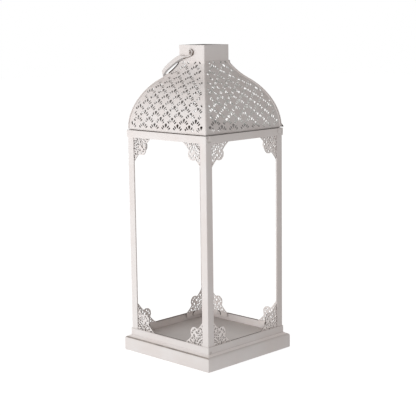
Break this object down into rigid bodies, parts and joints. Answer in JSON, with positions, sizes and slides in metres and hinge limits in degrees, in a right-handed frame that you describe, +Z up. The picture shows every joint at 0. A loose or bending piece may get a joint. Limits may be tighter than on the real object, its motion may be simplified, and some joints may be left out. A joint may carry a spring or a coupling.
{
  "type": "metal candle lantern",
  "caption": "Square candle lantern of painted sheet metal: open frame with pierced corner brackets, domed roof pierced with fans, square neck and a swinging strap bail.",
  "frame": {"origin": "centre of the base, on the surface that the lantern stands on", "axes": "+Z up along the lantern; -Y is the front face; +Y is the axis of the bail, which lies over towards -X"},
  "size_m": [0.154, 0.154, 0.3962],
  "materials": {
    "frame_paint": "warm off-white satin paint over sheet iron",
    "bracket_paint": "warm off-white satin paint over pierced sheet",
    "roof_paint": "warm off-white satin paint over pierced sheet",
    "bail_paint": "warm off-white satin paint over a bent strap"
  },
  "bodies": {
    "lantern_body": {"base_plinth": "frame_paint", "bottom_band": "frame_paint", "top_band": "frame_paint", "corner_post_front_left": "frame_paint", "corner_post_front_right": "frame_paint", "corner_post_back_left": "frame_paint", "corner_post_back_right": "frame_paint", "bracket_front_upper_left": "bracket_paint", "bracket_front_upper_right": "bracket_paint", "bracket_front_lower_left": "bracket_paint", "bracket_front_lower_right": "bracket_paint", "bracket_right_upper_left": "bracket_paint", "bracket_right_upper_right": "bracket_paint", "bracket_right_lower_left": "bracket_paint", "bracket_right_lower_right": "bracket_paint", "bracket_back_upper_left": "bracket_paint", "bracket_back_upper_right": "bracket_paint", "bracket_back_lower_left": "bracket_paint", "bracket_back_lower_right": "bracket_paint", "bracket_left_upper_left": "bracket_paint", "bracket_left_upper_right": "bracket_paint", "bracket_left_lower_left": "bracket_paint", "bracket_left_lower_right": "bracket_paint", "roof_panel_front": "roof_paint", "roof_panel_right": "roof_paint", "roof_panel_back": "roof_paint", "roof_panel_left": "roof_paint", "hip_seam_front_left": "roof_paint", "hip_seam_back_right": "roof_paint", "hip_crease_front_right": "roof_paint", "hip_crease_back_left": "roof_paint", "roof_tab_left_left": "roof_paint", "roof_tab_left_right": "roof_paint", "roof_tab_right_left": "roof_paint", "roof_tab_right_right": "roof_paint", "neck_collar": "frame_paint"},
    "bail": {"bail_handle": "bail_paint"}
  },
  "joints": [
    {"name": "bail_swing", "type": "hinge", "parent": "lantern_body", "child": "bail", "pos_m": [0, 0, 0.3869], "axis": [0, 1, 0], "range_deg": [0, 222.4]}
  ]
}
